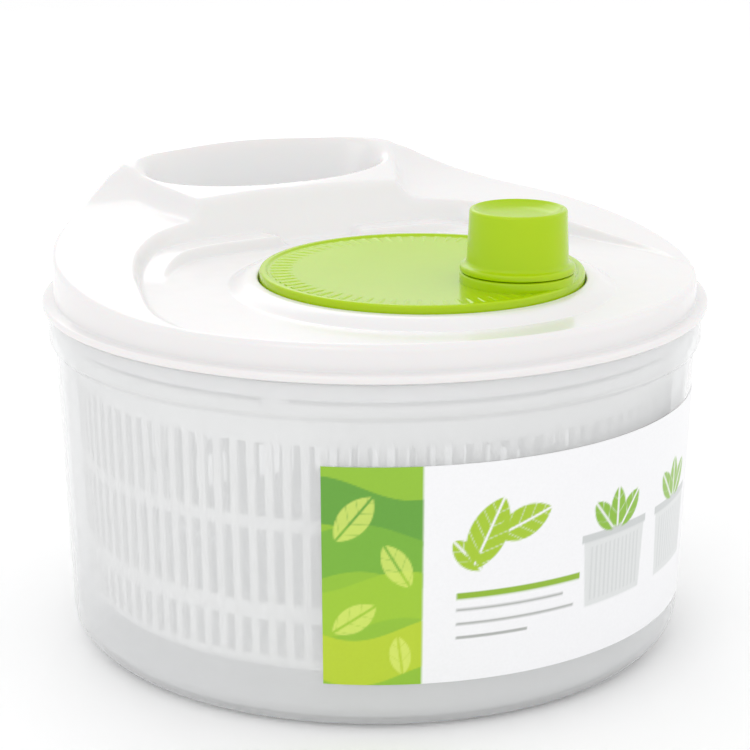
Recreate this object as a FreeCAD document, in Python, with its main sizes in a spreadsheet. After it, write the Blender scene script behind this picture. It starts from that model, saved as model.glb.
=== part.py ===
import FreeCAD, Part
import Sketcher
import math
import os
import re

# A crank salad spinner: a bowl with a slotted basket inside, and a press-on lid that carries
# an off-centre crank disc. An internal gear under the disc drives a pinion on the bowl's axis.
# Millimetres. +Z is up, the origin is the centre of the bowl's base, and the lid's handle is at +Y.

doc = FreeCAD.newDocument("salad_spinner")

# ------------------------------------------------------------------ driving dimensions

DIMENSIONS = [
    ("wall", 2.0, "wall of the moulded shells"),
    ("bowl_low_radius", 96.3, "bowl wall, outside, just above the base"),
    ("bowl_high_radius", 99.4, "bowl wall, outside, below the collar"),
    ("bowl_corner", 5.5, "rounding between base and wall"),
    ("bowl_floor", 2.2, "thickness of the base"),
    ("bowl_shoulder", 93.3, "height where the wall steps out to the collar"),
    ("bowl_rim", 104.8, "height of the bowl's rim"),
    ("collar_radius", 101.3, "outside of the bowl's collar"),
    ("pivot_radius", 5.9, "pin moulded in the bowl's floor"),
    ("pivot_top", 22.6, "height of the pin's tip"),
    ("running_gap", 0.1, "radial play of a running fit"),
    ("basket_base", 15.4, "height of the underside of the basket"),
    ("basket_low_radius", 91.2, "basket wall, outside, at the bottom"),
    ("basket_high_radius", 93.4, "basket wall, outside, at the top"),
    ("basket_rim", 97.0, "height of the basket's rim"),
    ("basket_lip", 95.6, "outside of the basket's rim lip"),
    ("basket_wall", 1.8, "thickness of the basket's wall"),
    ("socket_depth", 7.5, "depth of the socket that takes the pin"),
    ("slot_columns", 54, "columns of slots round the basket"),
    ("slot_breadth", 6.2, "width of one slot in the wall"),
    ("dog_width", 8.0, "width of a driving dog"),
    ("dog_play", 0.3, "play of a dog in its notch, each side"),
    ("flange_radius", 103.0, "outside of the lid's flange"),
    ("flange_base", 105.1, "underside of the lid's flange"),
    ("lid_radius", 99.4, "outside of the lid's skirt"),
    ("lid_top", 115.0, "height of the lid's flat top"),
    ("plug_radius", 98.9, "outside of the ring that plugs the bowl"),
    ("plug_base", 99.0, "lower end of that ring"),
    ("crank_offset", 30.0, "crank axis, in front of the bowl's axis"),
    ("disc_radius", 48.7, "outside of the crank disc"),
    ("disc_top", 119.8, "top face of the crank disc"),
    ("disc_gap", 0.9, "gap round the crank disc"),
    ("collar_ring", 58.5, "outside of the raised ring round the disc"),
    ("collar_height", 118.0, "top of that raised ring"),
    ("tray_radius", 58.5, "outside of the gear housing"),
    ("tray_base", 105.0, "underside of the gear housing"),
    ("tray_top", 107.0, "top of the gear housing's floor"),
    ("tray_screw_circle", 54.5, "circle of the housing screws"),
    ("gear_module", 4.0 / 3.0, "tooth size of the gear pair"),
    ("ring_teeth", 60, "teeth of the internal gear"),
    ("pinion_teeth", 15, "teeth of the pinion"),
    ("tooth_play", 0.12, "thinning of each tooth at the pitch circle"),
    ("journal_radius", 5.0, "shafts of the crank and the pinion"),
    ("web_base", 113.8, "underside of the internal gear's web"),
    ("web_top", 115.6, "top of the internal gear's web"),
    ("disc_screw_circle", 12.0, "circle of the screws that hold the disc"),
    ("knob_reach", 31.6, "knob axis to crank axis"),
    ("knob_angle", -56.9, "direction of the knob at rest"),
    ("pad_top", 122.6, "top of the pad under the knob"),
    ("post_radius", 9.0, "post that the knob turns on"),
    ("post_top", 134.0, "top of that post"),
    ("knob_skirt", 17.0, "outside of the ring at the knob's foot"),
    ("knob_top", 141.4, "top of the knob's rim"),
    ("ring_outside", 45.5, "outside of the internal gear"),
    ("tube_radius", 8.0, "outside of the crank's bearing tube"),
    ("boss_radius", 9.5, "outside of the pinion's boss"),
    ("boss_base", 102.6, "lower end of the pinion's boss"),
    ("bush_radius", 7.0, "outside of the pinion's bush"),
    ("hexagon_size", 4.6, "centre to corner of the pinion's hexagonal end"),
    ("plate_radius", 94.5, "outside of the drive plate"),
    ("plate_hub", 9.0, "outside of the drive plate's hub"),
    ("plate_hole", 14.0, "radius of the holes in the drive plate"),
    ("plate_hole_circle", 58.0, "circle of those holes"),
    ("dog_inside", 91.9, "driving dogs, inner face"),
    ("dog_thickness", 2.5, "driving dogs, along the radius"),
    ("plate_base", 99.0, "underside of the drive plate"),
    ("label_low", 15.3, "lower edge of the label"),
    ("label_high", 80.6, "upper edge of the label"),
    ("label_thickness", 0.2, "thickness of the label"),
    ("label_sweep", 104.0, "how far round the bowl the label goes"),
    ("label_start", -126.7, "direction where the label starts"),
]

sheet = doc.addObject("Spreadsheet::Sheet", "Sizes")
for row, (alias, value, meaning) in enumerate(DIMENSIONS, start=1):
    sheet.set("A%d" % row, meaning)
    sheet.set("B%d" % row, repr(value))
    sheet.setAlias("B%d" % row, alias)
doc.recompute()


ALIAS = re.compile(r"\b(%s)\b" % "|".join(alias for alias, _, _ in DIMENSIONS))


def bound(text):
    """Turn the sheet's aliases in an expression into references to the sheet."""
    return ALIAS.sub(r"Sizes.\1", text)


def value(text):
    """The number that an expression in the sheet's aliases gives."""
    return float(sheet.evalExpression(bound(str(text))))


# ------------------------------------------------------------------ ways of making things

def outline(body, name, role, corners):
    """A closed sketch whose corners are bound to the sheet, on one of the body's own planes."""
    sketch = body.newObject("Sketcher::SketchObject", name)
    plane = [f for f in body.Origin.OriginFeatures if f.Role == role][0]
    sketch.AttachmentSupport = [(plane, "")]
    sketch.MapMode = "FlatFace"
    points = [FreeCAD.Vector(value(a), value(b), 0) for a, b in corners]
    for index, point in enumerate(points):
        sketch.addGeometry(Part.LineSegment(point, points[(index + 1) % len(points)]))
    for index, (across, up) in enumerate(corners):
        sketch.addConstraint(Sketcher.Constraint(
            "Coincident", index, 2, (index + 1) % len(corners), 1))
        for kind, text in (("DistanceX", across), ("DistanceY", up)):
            number = sketch.addConstraint(
                Sketcher.Constraint(kind, -1, 1, index, 1, value(text)))
            sketch.setExpression("Constraints[%d]" % number, bound(str(text)))
    return sketch


def turned(name, corners, sweep=360, place=(0, 0, 0), turn=0):
    """A body turned about its own vertical axis from corners given as (radius, height)."""
    body = doc.addObject("PartDesign::Body", name)
    sketch = outline(body, name + "_profile", "XZ_Plane", corners)
    revolution = body.newObject("PartDesign::Revolution", name + "_turning")
    revolution.Profile = sketch
    revolution.ReferenceAxis = (sketch, ["V_Axis"])
    revolution.Angle = sweep
    body.Tip = revolution
    put(body, place, turn)
    return body


def put(thing, place, turn=0):
    """Place an object; each coordinate may be an expression in the sheet's aliases."""
    rotation = FreeCAD.Rotation(FreeCAD.Vector(0, 0, 1), turn)
    thing.Placement = FreeCAD.Placement(FreeCAD.Vector(*[value(c) for c in place]), rotation)
    for axis, text in zip("xyz", place):
        if isinstance(text, str):
            thing.setExpression("Placement.Base." + axis, bound(text))


def cylinder(name, radius, height, place):
    thing = doc.addObject("Part::Cylinder", name)
    thing.setExpression("Radius", bound(str(radius)))
    thing.setExpression("Height", bound(str(height)))
    put(thing, place)
    return thing


def block(name, size, place, turn):
    thing = doc.addObject("Part::Box", name)
    for side, text in zip(("Length", "Width", "Height"), size):
        thing.setExpression(side, bound(str(text)))
    put(thing, place, turn)
    return thing


def fused(name, things):
    result = doc.addObject("Part::MultiFuse", name)
    result.Shapes = things
    return result


def group(name, things):
    result = doc.addObject("Part::Compound", name)
    result.Links = things
    return result


def cut(name, base, tool):
    result = doc.addObject("Part::Cut", name)
    result.Base = base
    result.Tool = tool
    return result


def formed(name, shape):
    """An object whose shape is worked out in code from the sheet."""
    result = doc.addObject("Part::Feature", name)
    result.Shape = shape
    return result


def circle_places(radius, count, first, centre_y="0"):
    """Places (x, y) evenly spaced on a circle, as expressions."""
    places = []
    for index in range(count):
        angle = first + 360.0 * index / count
        places.append(("%s * %.6f" % (radius, math.cos(math.radians(angle))),
                       "%s + %s * %.6f" % (centre_y, radius, math.sin(math.radians(angle)))))
    return places


def screw(name, x, y, head_base, head_radius, head_height, shank_radius, length):
    """A pan-head screw, head down, with a cross recess in the head."""
    head = cylinder(name + "_head", head_radius, head_height, (x, y, head_base))
    shank = cylinder(name + "_shank", shank_radius, "%s + %s" % (head_height, length),
                     (x, y, head_base))
    whole = fused(name + "_blank", [head, shank])
    reach = head_radius * 0.6
    recess = []
    for index, turn in enumerate((0, 90)):
        bar = doc.addObject("Part::Box", "%s_recess_%d" % (name, index))
        bar.Length, bar.Width, bar.Height = 2 * reach, 0.7, head_height * 0.6
        corner = FreeCAD.Rotation(FreeCAD.Vector(0, 0, 1), turn).multVec(
            FreeCAD.Vector(-reach, -0.35, 0))
        bar.Placement = FreeCAD.Placement(
            corner + FreeCAD.Vector(value(x), value(y), value(head_base)),
            FreeCAD.Rotation(FreeCAD.Vector(0, 0, 1), turn))
        recess.append(bar)
    return cut(name, whole, group(name + "_recess", recess))


# ------------------------------------------------------------------ bowl, label and basket

CRANK_Y = "-crank_offset"
CONE_SLOPE = "(bowl_high_radius - bowl_low_radius) / (bowl_shoulder - bowl_corner)"


def make_bowl():
    """Tapered bowl with a collar at the rim and the pivot pin moulded in its floor."""
    low_inside = "bowl_low_radius - wall"
    return turned("bowl", [
        ("0", "0"),
        ("bowl_low_radius - bowl_corner", "0"),
        ("bowl_low_radius - 0.29 * bowl_corner", "0.29 * bowl_corner"),
        ("bowl_low_radius", "bowl_corner"),
        ("bowl_high_radius", "bowl_shoulder"),
        ("collar_radius", "bowl_shoulder + 1.7"),
        ("collar_radius", "bowl_rim"),
        ("collar_radius - wall", "bowl_rim"),
        ("collar_radius - wall", "bowl_shoulder + 2.2"),
        ("bowl_high_radius - wall", "bowl_shoulder + 0.4"),
        (low_inside, "bowl_corner + 0.5"),
        (low_inside + " - 1.2", "bowl_floor + 1.0"),
        (low_inside + " - 3.6", "bowl_floor"),
        ("pivot_radius + 5", "bowl_floor"),
        ("pivot_radius", "bowl_floor + 7"),
        ("pivot_radius", "pivot_top - 1.5"),
        ("pivot_radius - 1.8", "pivot_top"),
        ("0", "pivot_top"),
    ])


def make_label():
    """Thin sleeve that follows the taper of the bowl's wall."""
    low = "bowl_low_radius + (label_low - bowl_corner) * " + CONE_SLOPE
    high = "bowl_low_radius + (label_high - bowl_corner) * " + CONE_SLOPE
    return turned("label", [
        (low, "label_low"),
        (low + " + label_thickness", "label_low"),
        (high + " + label_thickness", "label_high"),
        (high, "label_high"),
    ], sweep=value("label_sweep"), turn=value("label_start"))


SLOT_ROWS = [(19.5, 30.6), (36.0, 58.0), (62.0, 84.0)]    # lower and upper end of each row
FLOOR_RINGS = 7
FLOOR_RING_FIRST = 16.0
FLOOR_RING_PITCH = 10.0
FLOOR_SLOT = 5.0
FLOOR_SECTORS = 8
FLOOR_RIB = 5.0


def wall_slots():
    """Cutters for the three rows of slots in the basket's wall."""
    count = int(value("slot_columns"))
    breadth = value("slot_breadth")
    cutters = []
    for column in range(count):
        for low, high in SLOT_ROWS:
            cutter = Part.makeBox(12, breadth, high - low, FreeCAD.Vector(84, -breadth / 2, low))
            cutter.rotate(FreeCAD.Vector(), FreeCAD.Vector(0, 0, 1), 360.0 * column / count)
            cutters.append(cutter)
    return cutters


def floor_slots():
    """Cutters for the rings of arc-shaped slots in the basket's floor."""
    cutters = []
    base = value("basket_base") - 1
    for ring in range(FLOOR_RINGS):
        inner = FLOOR_RING_FIRST + FLOOR_RING_PITCH * ring
        outer = inner + FLOOR_SLOT
        rib_angle = math.degrees(FLOOR_RIB / (inner + outer) * 2)
        sweep = 360.0 / FLOOR_SECTORS - rib_angle
        for sector in range(FLOOR_SECTORS):
            wide = Part.makeCylinder(outer, 4, FreeCAD.Vector(0, 0, base),
                                     FreeCAD.Vector(0, 0, 1), sweep)
            core = Part.makeCylinder(inner, 4, FreeCAD.Vector(0, 0, base))
            cutter = wide.cut(core)
            cutter.rotate(FreeCAD.Vector(), FreeCAD.Vector(0, 0, 1),
                          360.0 * sector / FLOOR_SECTORS + rib_angle / 2)
            cutters.append(cutter)
    return cutters


DOG_FIRST = 45.0
DOG_COUNT = 4


def rim_notches():
    """Cutters for the notches in the basket's rim that the drive plate's dogs sit in."""
    width = value("dog_width + 2 * dog_play")
    cutters = []
    for index in range(DOG_COUNT):
        cutter = Part.makeBox(8, width, 4, FreeCAD.Vector(90, -width / 2, value("basket_rim - 2.8")))
        cutter.rotate(FreeCAD.Vector(), FreeCAD.Vector(0, 0, 1),
                      DOG_FIRST + 360.0 * index / DOG_COUNT)
        cutters.append(cutter)
    return cutters


def make_basket():
    """Slotted basket with a socket that drops over the bowl's pivot pin."""
    socket = "pivot_radius + running_gap"
    high_inside = "basket_high_radius - basket_wall"
    low_inside = "basket_low_radius - basket_wall"
    blank = turned("basket_blank", [
        (socket, "basket_base"),
        ("basket_low_radius - 2.6", "basket_base"),
        ("basket_low_radius", "basket_base + 2.6"),
        ("basket_high_radius", "basket_rim - 11"),
        ("basket_high_radius", "basket_rim - 2.2"),
        ("basket_lip", "basket_rim - 2.2"),
        ("basket_lip", "basket_rim"),
        (high_inside, "basket_rim"),
        (high_inside, "basket_rim - 10.8"),
        (low_inside, "basket_base + 3.8"),
        (low_inside + " - 1.8", "basket_base + 2"),
        (socket + " + 2.4", "basket_base + 2"),
        (socket + " + 2.4", "basket_base + socket_depth + 2.4"),
        ("0", "basket_base + socket_depth + 2.4"),
        ("0", "basket_base + socket_depth"),
        (socket, "basket_base + socket_depth"),
    ])
    cutters = formed("basket_openings",
                     Part.makeCompound(wall_slots() + floor_slots() + rim_notches()))
    return cut("basket", blank, cutters)


# ------------------------------------------------------------------ lid

# Side profile of the lid's raised shoulder, as (distance towards the handle, height).
SHOULDER = [(-45, 115.2), (-24, 116.4), (6, 119.0), (34, 122.1), (56, 124.5), (68, 127.4),
            (76, 131.5), (82, 136.0), (88, 137.8), (104, 138.3)]
# Foot of the scoop in front of the handle, right half, and how far it spreads by SCOOP_RISE.
SCOOP_FOOT = [(25, 42.3), (41, 40.5), (55, 35.0), (66, 24.0), (75, 8.0), (81, -10.0), (86, -30.0)]
SCOOP_BROW = [(27, 61.5), (46, 58.0), (61, 46.0), (73.5, 30.0), (83, 12.0), (89.5, -7.0),
              (94.5, -29.0)]
SCOOP_FOOT_BACK, SCOOP_BROW_BACK = 42.5, 62.5
SCOOP_RISE = 25.0
SCOOP_CENTRE = -35.0
GRIP_CENTRE = 78.0
GRIP_TOP = (42.0, 17.5)         # half length and half width of the grip recess at its mouth
GRIP_FLOOR = (38.0, 13.5)       # the same at its floor
GRIP_FLOOR_HEIGHT = 107.0
GRIP_MOUTH_HEIGHT = 142.0
HOOD_BASE = 112.0


def outward(solid):
    """The same solid with its faces pointing outwards."""
    return solid.reversed() if solid.Volume < 0 else solid


def prism_across(points, half_width):
    """Extrude a closed outline given as (y, z) across the lid, from -x to +x."""
    corners = [FreeCAD.Vector(-half_width, y, z) for y, z in points]
    face = Part.Face(Part.makePolygon(corners + corners[:1]))
    return outward(face.extrude(FreeCAD.Vector(2 * half_width, 0, 0)))


def scoop(spread, depth):
    """The space scooped out in front of the handle, grown by a factor and sunk by a depth."""
    def ring(half, back, height):
        left = [(-x, y) for x, y in reversed(half)]
        run = left + [(0, back)] + list(half)
        grown = [FreeCAD.Vector(x * spread, (y - SCOOP_CENTRE) * spread + SCOOP_CENTRE, height)
                 for x, y in run]
        curve = Part.BSplineCurve()
        curve.interpolate(grown)
        front = [grown[-1], FreeCAD.Vector(116, -50, height), FreeCAD.Vector(116, -125, height),
                 FreeCAD.Vector(-116, -125, height), FreeCAD.Vector(-116, -50, height), grown[0]]
        edges = [curve.toShape()] + [Part.makeLine(a, b) for a, b in zip(front, front[1:])]
        return Part.Wire(edges)
    top = value("lid_top")
    foot = ring(SCOOP_FOOT, SCOOP_FOOT_BACK, top)
    space = outward(Part.makeLoft([foot, ring(SCOOP_BROW, SCOOP_BROW_BACK, top + SCOOP_RISE)],
                                  True, True))
    if depth > 0:
        below = outward(Part.Face(foot).extrude(FreeCAD.Vector(0, 0, -depth)))
        space = space.fuse(below)
    return space


def oval(half_length, half_width, height):
    ellipse = Part.Ellipse(FreeCAD.Vector(0, GRIP_CENTRE, height), half_length, half_width)
    return Part.Wire(ellipse.toShape())


def grip(grow, floor_height, mouth_height):
    """The tapered oval space that the fingers go into, grown by the given amount."""
    def section(height):
        share = (height - GRIP_FLOOR_HEIGHT) / (GRIP_MOUTH_HEIGHT - GRIP_FLOOR_HEIGHT)
        length = GRIP_FLOOR[0] + (GRIP_TOP[0] - GRIP_FLOOR[0]) * share + grow
        width = GRIP_FLOOR[1] + (GRIP_TOP[1] - GRIP_FLOOR[1]) * share + grow
        return oval(length, width, height)
    return outward(Part.makeLoft([section(floor_height), section(mouth_height)], True, True))


def hood(inset):
    """The raised shoulder and handle as a solid, set in from the outer surface by inset."""
    lowered = [(y, z - inset) for y, z in SHOULDER]
    first, last = lowered[0][0], lowered[-1][0]
    shoulder = prism_across(lowered + [(last, HOOD_BASE), (first, HOOD_BASE)], 110)
    bar_profile = prism_across([(38, HOOD_BASE), (38, 129.2 - inset), (104, 139.2 - inset),
                                (104, HOOD_BASE)], 70)
    feet = []
    for height, half in ((HOOD_BASE, 60 - inset), (142.0, 44 - inset)):
        corners = [FreeCAD.Vector(x, y, height) for x, y in
                   ((-half, 30), (half, 30), (half, 110), (-half, 110), (-half, 30))]
        feet.append(Part.makePolygon(corners))
    handle = bar_profile.common(outward(Part.makeLoft(feet, True, True)))
    rim = Part.makeCylinder(value("lid_radius") - inset, 40, FreeCAD.Vector(0, 0, HOOD_BASE))
    spread = 1.0 + 1.35 * inset / 80.0
    depth = 5.0 if inset > 0 else 0.0
    return shoulder.fuse(handle).common(rim).cut(scoop(spread, depth))


def make_lid():
    """Press-on lid: skirt, flange and plug ring, raised handle, and the well for the crank."""
    wall = value("wall")
    rim = turned("lid_rim", [
        ("0", "lid_top - wall"),
        ("0", "lid_top"),
        ("lid_radius - 1", "lid_top"),
        ("lid_radius", "lid_top - 1"),
        ("lid_radius", "flange_base + 2.5"),
        ("flange_radius", "flange_base + 2.1"),
        ("flange_radius", "flange_base"),
        ("plug_radius", "flange_base"),
        ("plug_radius", "plug_base"),
        ("plug_radius - wall", "plug_base"),
        ("plug_radius - wall", "flange_base + 2"),
        ("lid_radius - wall", "lid_top - wall"),
    ])
    handle = formed("lid_handle", hood(0.0))
    hollow_shape = hood(wall + 0.2).cut(grip(wall, GRIP_FLOOR_HEIGHT - wall, GRIP_MOUTH_HEIGHT))
    hollow = formed("lid_handle_hollow", hollow_shape)
    tub = formed("grip_tub", grip(wall, GRIP_FLOOR_HEIGHT - wall, HOOD_BASE + 2))
    recess = formed("grip_recess", grip(0.0, GRIP_FLOOR_HEIGHT, GRIP_MOUTH_HEIGHT))
    well_hole = cylinder("well_hole", "disc_radius + disc_gap", 10,
                         ("0", CRANK_Y, "lid_top - 5"))
    collar = turned("well_collar", [
        ("disc_radius + disc_gap", "tray_top"),
        ("disc_radius + disc_gap + wall", "tray_top"),
        ("disc_radius + disc_gap + wall", "lid_top - 1"),
        ("collar_ring", "lid_top - 1"),
        ("collar_ring", "lid_top"),
        ("collar_ring - 2.5", "collar_height - 1.2"),
        ("disc_radius + disc_gap + wall", "collar_height"),
        ("disc_radius + disc_gap", "collar_height - 0.4"),
    ], place=("0", CRANK_Y, "0"))
    bosses, pilots = [], []
    for index, (x, y) in enumerate(circle_places("tray_screw_circle", 4, 45, CRANK_Y)):
        bosses.append(cylinder("lid_boss_%d" % index, 3.2, "lid_top - 1 - tray_top",
                               (x, y, "tray_top")))
        pilots.append(cylinder("lid_pilot_%d" % index, 1.3, 6, (x, y, "tray_top - 0.5")))
    shell = cut("lid_shell", fused("lid_blank", [rim, handle]), group("lid_hollows", [hollow, well_hole]))
    joined = fused("lid_joined", [shell, tub, collar] + bosses)
    return cut("lid", joined, group("lid_openings", [recess] + pilots))


# ------------------------------------------------------------------ gears

PRESSURE_ANGLE = math.radians(20)
ADDENDUM = 0.8          # stub teeth, in modules
PINION_DEDENDUM = 1.1
RING_DEDENDUM = 1.1


def involute(angle):
    return math.tan(angle) - angle


def half_angle(teeth, radius, thickening):
    """Half the angle of an involute tooth at a radius; thickening is at the pitch circle."""
    pitch = value("gear_module") * teeth / 2
    base = pitch * math.cos(PRESSURE_ANGLE)
    local = math.acos(min(1.0, base / max(radius, base)))
    return (math.pi / (2 * teeth) + thickening / (2 * pitch)
            + involute(PRESSURE_ANGLE) - involute(local))


def toothed_wire(teeth, radii, thickening, first):
    """A closed outline of involute teeth; radii run from the root to the tip."""
    flank = [(radius, half_angle(teeth, radius, thickening)) for radius in radii]
    points = []
    for index in range(teeth):
        middle = first + 2 * math.pi * index / teeth
        for radius, half in flank:
            points.append((radius, middle - half))
        for radius, half in reversed(flank):
            points.append((radius, middle + half))
    corners = [FreeCAD.Vector(r * math.cos(a), r * math.sin(a), 0) for r, a in points]
    return Part.makePolygon(corners + corners[:1])


def pinion_teeth_shape(height):
    module = value("gear_module")
    pitch = module * value("pinion_teeth") / 2
    radii = [pitch - PINION_DEDENDUM * module, pitch - 0.4 * module, pitch,
             pitch + 0.4 * module, pitch + ADDENDUM * module]
    wire = toothed_wire(int(value("pinion_teeth")), radii, -value("tooth_play"), math.pi / 2)
    return Part.Face(wire).extrude(FreeCAD.Vector(0, 0, height))


def ring_teeth_shape(height, outside):
    """An internal gear: its tooth spaces have the outline of an outer gear's teeth."""
    module = value("gear_module")
    pitch = module * value("ring_teeth") / 2
    radii = [pitch - ADDENDUM * module, pitch, pitch + RING_DEDENDUM * module]
    spaces = toothed_wire(int(value("ring_teeth")), radii, value("tooth_play"), math.pi / 2)
    return Part.makeCylinder(outside, height).cut(
        Part.Face(spaces).extrude(FreeCAD.Vector(0, 0, height)))


def make_ring_gear():
    """Cup-shaped internal gear with its own shaft, which turns in the gear housing."""
    hub = turned("ring_gear_hub", [
        ("0", "tray_base - 0.15"),
        ("journal_radius", "tray_base - 0.15"),
        ("journal_radius", "web_base"),
        ("ring_outside", "web_base"),
        ("ring_outside", "web_top"),
        ("0", "web_top"),
    ], place=("0", CRANK_Y, "0"))
    teeth = formed("ring_gear_teeth",
                   ring_teeth_shape(value("web_base - tray_top - 0.5"), value("ring_outside")))
    put(teeth, ("0", CRANK_Y, "tray_top + 0.5"))
    pilot = cylinder("ring_gear_pilot", 1.3, 7.5, ("0", CRANK_Y, "tray_base - 1"))
    holes = [cylinder("ring_gear_hole_%d" % index, 1.3, 4, (x, y, "web_base - 1"))
             for index, (x, y) in enumerate(circle_places("disc_screw_circle", 3, 90, CRANK_Y))]
    return cut("ring_gear", fused("ring_gear_blank", [hub, teeth]),
               group("ring_gear_holes", [pilot] + holes))


def make_pinion():
    """Pinion with its journal and the hexagonal end that carries the drive plate."""
    teeth = formed("pinion_teeth_ring", pinion_teeth_shape(value("web_base - tray_top - 1.2")))
    put(teeth, ("0", "0", "tray_top + 0.6"))
    journal = cylinder("pinion_journal", "journal_radius", "tray_top + 0.7 - boss_base",
                       ("0", "0", "boss_base - 0.1"))
    hexagon = doc.addObject("Part::Prism", "pinion_hexagon")
    hexagon.Polygon = 6
    hexagon.setExpression("Circumradius", bound("hexagon_size"))
    hexagon.setExpression("Height", bound("boss_base - 0.1 - plate_base + 2"))
    put(hexagon, ("0", "0", "plate_base - 2"))
    pilot = cylinder("pinion_pilot", 1.3, 9.5, ("0", "0", "plate_base - 3"))
    return cut("pinion", fused("pinion_blank", [teeth, journal, hexagon]), pilot)


# ------------------------------------------------------------------ gear housing and drive

def washer(name, inner, outer, low, high, place=("0", "0", "0")):
    return turned(name, [(inner, low), (outer, low), (outer, high), (inner, high)], place=place)


def make_gear_housing():
    """Tray that closes the well from below, with the bearings of the crank and the pinion."""
    tray = turned("gear_housing_tray", [
        ("journal_radius + 0.8 * running_gap", "tray_base"),
        ("tray_radius", "tray_base"),
        ("tray_radius", "tray_top"),
        ("tube_radius", "tray_top"),
        ("tube_radius", "web_base - 0.3"),
        ("journal_radius + 0.8 * running_gap", "web_base - 0.3"),
    ], place=("0", CRANK_Y, "0"))
    boss = cylinder("gear_housing_boss", "boss_radius", "tray_base + 1 - boss_base",
                    ("0", "0", "boss_base"))
    bore = cylinder("gear_housing_bore", "bush_radius", 8, ("0", "0", "tray_base - 4"))
    holes = [cylinder("gear_housing_hole_%d" % index, 1.6, 4, (x, y, "tray_base - 1"))
             for index, (x, y) in enumerate(circle_places("tray_screw_circle", 4, 45, CRANK_Y))]
    return cut("gear_housing", fused("gear_housing_blank", [tray, boss]),
               group("gear_housing_holes", [bore] + holes))


def make_housing_screws():
    return group("housing_screws", [
        screw("housing_screw_%d" % index, x, y, "tray_base - 1.6", 3.0, 1.6, 1.25, 6.5)
        for index, (x, y) in enumerate(circle_places("tray_screw_circle", 4, 45, CRANK_Y))])


def make_drive_plate():
    """Plate on the pinion's shaft whose four dogs sit in the notches of the basket's rim."""
    plate = turned("drive_plate_blank", [
        ("0", "plate_base - 2"),
        ("plate_hub", "plate_base - 2"),
        ("plate_hub", "plate_base"),
        ("plate_radius", "plate_base"),
        ("plate_radius", "plate_base + wall"),
        ("plate_hub", "plate_base + wall"),
        ("plate_hub", "plate_base + 3.2"),
        ("0", "plate_base + 3.2"),
    ])
    dogs = []
    for index in range(DOG_COUNT):
        turn = DOG_FIRST + 360.0 * index / DOG_COUNT
        angle = math.radians(turn)
        inner, half = value("dog_inside"), value("dog_width / 2")
        corner = (inner * math.cos(angle) + half * math.sin(angle),
                  inner * math.sin(angle) - half * math.cos(angle), "basket_rim - 2.4")
        size = ("dog_thickness", "dog_width", "plate_base + 1 - basket_rim + 2.4")
        dogs.append(block("drive_dog_%d" % index, size, corner, turn))
    hexagon = doc.addObject("Part::Prism", "drive_plate_socket")
    hexagon.Polygon = 6
    hexagon.setExpression("Circumradius", bound("hexagon_size + 0.1"))
    hexagon.Height = 10
    put(hexagon, ("0", "0", "plate_base - 4"))
    holes = [cylinder("drive_plate_hole_%d" % index, "plate_hole", 4, (x, y, "plate_base - 1"))
             for index, (x, y) in enumerate(circle_places("plate_hole_circle", 8, 22.5))]
    return cut("drive_plate", fused("drive_plate_joined", [plate] + dogs),
               group("drive_plate_openings", [hexagon] + holes))


# ------------------------------------------------------------------ crank disc and knob

KNOB_PLACE = ("knob_reach * %.6f" % math.cos(math.radians(value("knob_angle"))),
              "knob_reach * %.6f - crank_offset" % math.sin(math.radians(value("knob_angle"))))


def make_crank_disc():
    """Disc with a rolled rim, a pad and a hollow post for the knob, and three screw bosses."""
    disc = turned("crank_disc_blank", [
        ("0", "disc_top - 1.8"),
        ("disc_radius - 2.1", "disc_top - 1.8"),
        ("disc_radius - 2.1", "disc_top - 8.8"),
        ("disc_radius", "disc_top - 8.8"),
        ("disc_radius", "disc_top - 0.2"),
        ("disc_radius - 0.6", "disc_top + 0.4"),
        ("disc_radius - 1.5", "disc_top + 0.4"),
        ("disc_radius - 2.1", "disc_top"),
        ("0", "disc_top"),
    ], place=("0", CRANK_Y, "0"))
    x, y = KNOB_PLACE
    pad = cylinder("knob_pad", "knob_skirt", "pad_top - disc_top + 1", (x, y, "disc_top - 1"))
    post = cylinder("knob_post", "post_radius", "post_top - disc_top + 1", (x, y, "disc_top - 1"))
    bosses, pilots = [], []
    for index, (bx, by) in enumerate(circle_places("disc_screw_circle", 3, 90, CRANK_Y)):
        bosses.append(cylinder("disc_boss_%d" % index, 3, "disc_top - 1 - web_top",
                               (bx, by, "web_top")))
        pilots.append(cylinder("disc_pilot_%d" % index, 1.1, 3.2, (bx, by, "web_top - 0.2")))
    cavity = cylinder("post_cavity", 6.5, 14, (x, y, "pad_top + 5.4 - 14"))
    bore = cylinder("post_bore", 3.1, 30, (x, y, "disc_top - 5"))
    return cut("crank_disc", fused("crank_disc_joined", [disc, pad, post] + bosses),
               group("crank_disc_openings", [cavity, bore] + pilots))


def make_disc_screws():
    return group("disc_screws", [
        screw("disc_screw_%d" % index, x, y, "web_base - 1.2", 2.6, 1.2, 1.05, 4.4)
        for index, (x, y) in enumerate(circle_places("disc_screw_circle", 3, 90, CRANK_Y))])


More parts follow.
